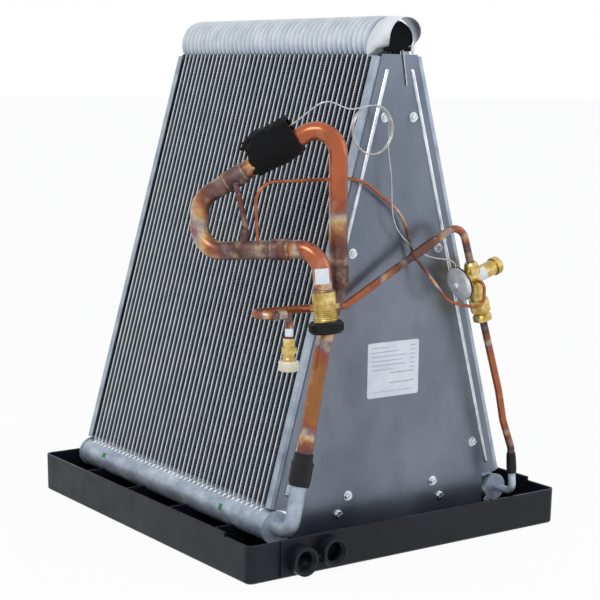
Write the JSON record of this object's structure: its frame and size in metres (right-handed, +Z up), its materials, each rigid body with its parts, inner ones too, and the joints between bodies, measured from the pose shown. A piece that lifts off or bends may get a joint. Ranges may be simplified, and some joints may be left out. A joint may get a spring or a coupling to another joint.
{
  "type": "a-coil evaporator",
  "caption": "Folded microchannel evaporator coil standing as an A in a rectangular drain pan, with suction and liquid pipework and an expansion valve on its front.",
  "frame": {"origin": "centre of the drain pan's underside", "axes": "+Z up, -Y towards the front with the drain ports and pipework, +X towards the liquid header"},
  "size_m": [0.4886, 0.5463, 0.6565],
  "materials": {
    "pan_plastic": "matte",
    "coil_aluminium": "satin",
    "header_aluminium": "satin",
    "plate_steel": "satin",
    "screw_steel": "bright",
    "copper": "satin",
    "copper_tinted": "heat tinted",
    "brass": "satin",
    "black_foam": "matte",
    "black_sleeve": "satin",
    "black_wrap": "matte",
    "black_cap": "satin",
    "cream_cap": "satin",
    "label": "matte",
    "steel_wire": "bright",
    "power_head_steel": "satin"
  },
  "bodies": {
    "root": {"bulb_insulation": "black_wrap", "bulb_pipe": "copper", "capillary_tube": "steel_wire", "distributor_tube": "coil_aluminium", "drain_pan": "pan_plastic", "drain_port_panel": "pan_plastic", "equalizer_tube": "copper", "fin_pack_left": "coil_aluminium", "fin_pack_right": "coil_aluminium", "flat_tubes": "coil_aluminium", "front_apex_foam": "black_foam", "front_delta_plate": "plate_steel", "front_fold_strip": "coil_aluminium", "front_left_channel": "coil_aluminium", "front_plate_screws": "screw_steel", "front_right_channel": "coil_aluminium", "liquid_cap": "cream_cap", "liquid_couplings": "copper_tinted", "liquid_elbow": "copper", "liquid_fitting": "brass", "liquid_header": "header_aluminium", "liquid_header_caps": "header_aluminium", "liquid_header_elbow": "coil_aluminium", "liquid_line": "copper_tinted", "outlet_sleeve": "black_sleeve", "power_head": "power_head_steel", "process_stub": "copper_tinted", "rating_label": "label", "rear_apex_foam": "black_foam", "rear_delta_plate": "plate_steel", "rear_left_channel": "coil_aluminium", "rear_plate_screws": "screw_steel", "rear_right_channel": "coil_aluminium", "riser_reducer": "copper_tinted", "sensing_bulb": "copper", "suction_cap": "black_cap", "suction_couplings": "copper_tinted", "suction_elbow": "copper", "suction_fitting": "brass", "suction_header": "header_aluminium", "suction_header_caps": "header_aluminium", "suction_header_elbow": "coil_aluminium", "suction_loop": "copper_tinted", "suction_riser": "copper_tinted", "suction_sleeve": "black_sleeve", "valve_body": "brass", "valve_inlet_pipe": "copper_tinted", "valve_outlet_nuts": "brass", "valve_outlet_pipe": "copper_tinted", "valve_stem_cap": "brass", "wire_hook": "steel_wire"}
  },
  "joints": []
}
